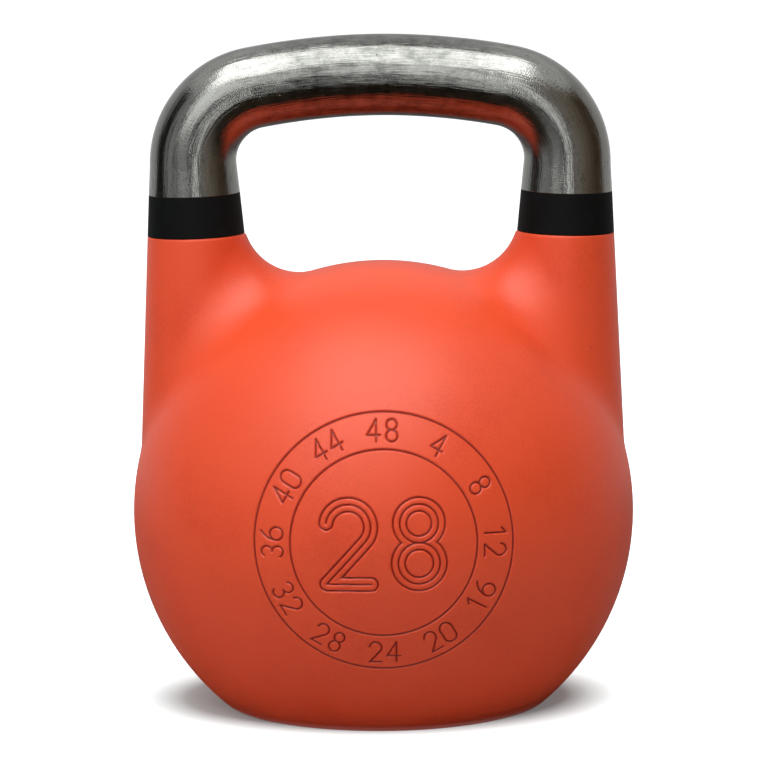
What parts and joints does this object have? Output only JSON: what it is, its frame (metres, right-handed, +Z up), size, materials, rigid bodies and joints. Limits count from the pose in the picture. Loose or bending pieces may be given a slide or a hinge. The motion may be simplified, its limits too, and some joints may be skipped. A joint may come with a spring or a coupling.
{
  "type": "competition kettlebell",
  "caption": "Ball-shaped cast weight with a flat base, two tapered horns and an arched bare-metal grip bar, black sleeves round the horns and a plugged hollow core.",
  "frame": {"origin": "on the floor at the centre of the flat base", "axes": "+Z up through the ball to the middle of the grip, +X to the right of someone who faces the front, -Y towards the front, which has the engraved rings"},
  "size_m": [0.21, 0.21, 0.28],
  "materials": {
    "coated_casting": "satin orange-red powder coat over cast steel",
    "grip_steel": "hand-ground and polished bare cast steel, on the grip above the sleeves",
    "band_rubber": "matt black",
    "turned_steel": "turned, oiled",
    "ballast_steel": "sawn and turned",
    "fastener_steel": "blackened",
    "seal_rubber": "matt",
    "cap_plastic": "moulded, matt"
  },
  "bodies": {
    "root": {"bell_casting": "coated_casting", "left_band": "band_rubber", "right_band": "band_rubber", "base_plug": "turned_steel", "plug_gasket": "seal_rubber", "plug_lock_screws": "fastener_steel", "ballast_disc_lower": "ballast_steel", "ballast_disc_middle": "ballast_steel", "ballast_disc_upper": "ballast_steel", "flat_washer": "fastener_steel", "spring_washer": "fastener_steel", "ballast_nut": "fastener_steel", "ballast_bolt": "fastener_steel", "bolt_seal": "seal_rubber", "bolt_cap": "cap_plastic"}
  },
  "joints": []
}
